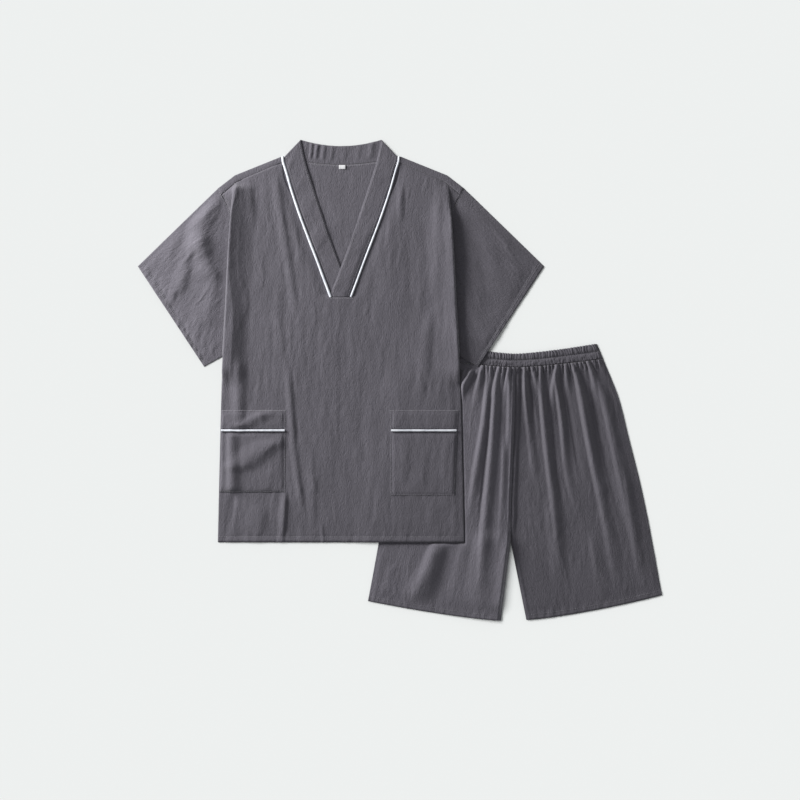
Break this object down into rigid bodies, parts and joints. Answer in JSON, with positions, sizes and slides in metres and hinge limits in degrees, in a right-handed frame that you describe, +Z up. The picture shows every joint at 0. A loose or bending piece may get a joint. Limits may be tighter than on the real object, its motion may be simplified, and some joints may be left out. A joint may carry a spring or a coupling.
{
  "type": "sauna wear set",
  "caption": "Grey crinkled cotton sauna wear laid flat: V-neck pullover with white piping and patch pockets, over elastic-waist shorts.",
  "frame": {"origin": "middle of the ground that the set covers, on the surface it lies on", "axes": "+X towards the right of the pullover as seen from above, +Y from the hems towards the collar, +Z up"},
  "size_m": [0.9754, 0.8945, 0.0123],
  "materials": {
    "cotton": "dark purple-grey crinkled cotton",
    "piping": "white cotton piping",
    "label": "plain white woven label"
  },
  "bodies": {
    "root": {"top_front": "cotton", "top_back": "cotton", "sleeve_left": "cotton", "sleeve_right": "cotton", "collar_left": "cotton", "collar_right": "cotton", "collar_back": "cotton", "piping_collar_left": "piping", "piping_collar_right": "piping", "pocket_left_bag": "cotton", "pocket_left_band": "cotton", "piping_pocket_left": "piping", "pocket_right_bag": "cotton", "pocket_right_band": "cotton", "piping_pocket_right": "piping", "neck_label": "label", "shorts_front_left": "cotton", "shorts_front_right": "cotton", "shorts_back_left": "cotton", "shorts_back_right": "cotton", "waistband": "cotton"}
  },
  "joints": []
}
